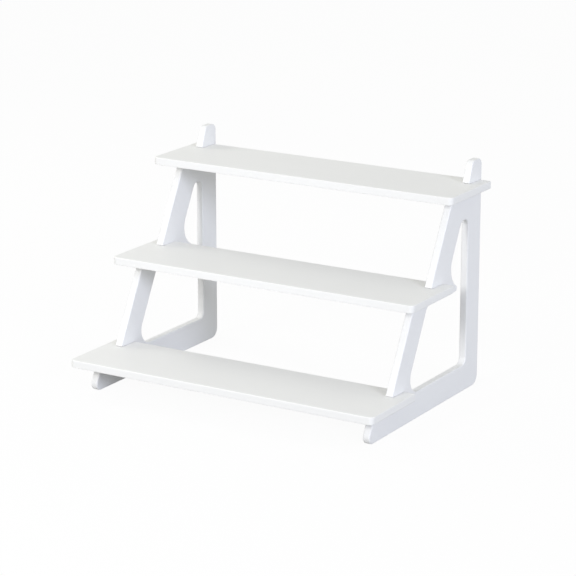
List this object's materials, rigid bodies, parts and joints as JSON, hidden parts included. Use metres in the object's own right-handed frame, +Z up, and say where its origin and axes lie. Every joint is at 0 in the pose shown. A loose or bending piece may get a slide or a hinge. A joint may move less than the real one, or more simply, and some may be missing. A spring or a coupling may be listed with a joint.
{
  "type": "stepped display shelf",
  "caption": "White table-top display stand: shelves rise in steps between cut side panels and slot into their notches, with no fasteners.",
  "frame": {"origin": "on the floor, under the middle of the whole stand", "axes": "+X along the shelves, to the right as seen by someone who stands in front; -Y to the front, where the lowest shelf is; +Z up"},
  "size_m": [0.4, 0.278, 0.2705],
  "materials": {
    "panel_paint": "white satin paint on fibreboard",
    "shelf_paint": "white satin paint on fibreboard"
  },
  "bodies": {
    "side_panels": {"side_panel_left": "panel_paint", "side_panel_right": "panel_paint"},
    "lower_shelf": {"shelf_lower": "shelf_paint"},
    "middle_shelf": {"shelf_middle": "shelf_paint"},
    "upper_shelf": {"shelf_upper": "shelf_paint"}
  },
  "joints": [
    {"name": "lower_shelf_slide", "type": "slide", "parent": "side_panels", "child": "lower_shelf", "axis": [0, -1, 0], "range_m": [0, 0.028]},
    {"name": "middle_shelf_slide", "type": "slide", "parent": "side_panels", "child": "middle_shelf", "axis": [0, -1, 0], "range_m": [0, 0.028]},
    {"name": "upper_shelf_slide", "type": "slide", "parent": "side_panels", "child": "upper_shelf", "axis": [0, -1, 0], "range_m": [0, 0.028]}
  ]
}
